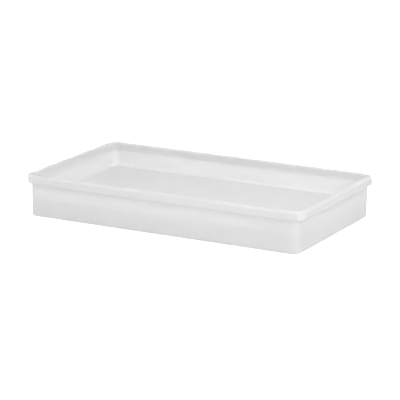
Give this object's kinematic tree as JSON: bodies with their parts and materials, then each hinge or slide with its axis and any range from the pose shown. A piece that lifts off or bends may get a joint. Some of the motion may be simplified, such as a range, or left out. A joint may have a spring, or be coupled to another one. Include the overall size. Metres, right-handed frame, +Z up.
{
  "type": "developing tray",
  "caption": "Shallow open rectangular tray with a raised flat floor, drafted walls, rounded corners and a turned-down lip, for holding processing liquid over prints or sheet film.",
  "frame": {"origin": "centre of the base, on the surface that the tray stands on", "axes": "+X along the tray's length, +Y across its width, +Z up"},
  "size_m": [0.4, 0.235, 0.056],
  "materials": {
    "natural_polypropylene": "milky translucent natural polypropylene, satin moulded surface with fine scuffs"
  },
  "bodies": {
    "root": {"floor": "natural_polypropylene", "front_wall": "natural_polypropylene", "back_wall": "natural_polypropylene", "left_wall": "natural_polypropylene", "right_wall": "natural_polypropylene", "front_left_corner": "natural_polypropylene", "front_right_corner": "natural_polypropylene", "back_left_corner": "natural_polypropylene", "back_right_corner": "natural_polypropylene", "front_lip": "natural_polypropylene", "back_lip": "natural_polypropylene", "left_lip": "natural_polypropylene", "right_lip": "natural_polypropylene", "front_left_lip_corner": "natural_polypropylene", "front_right_lip_corner": "natural_polypropylene", "back_left_lip_corner": "natural_polypropylene", "back_right_lip_corner": "natural_polypropylene"}
  },
  "joints": []
}
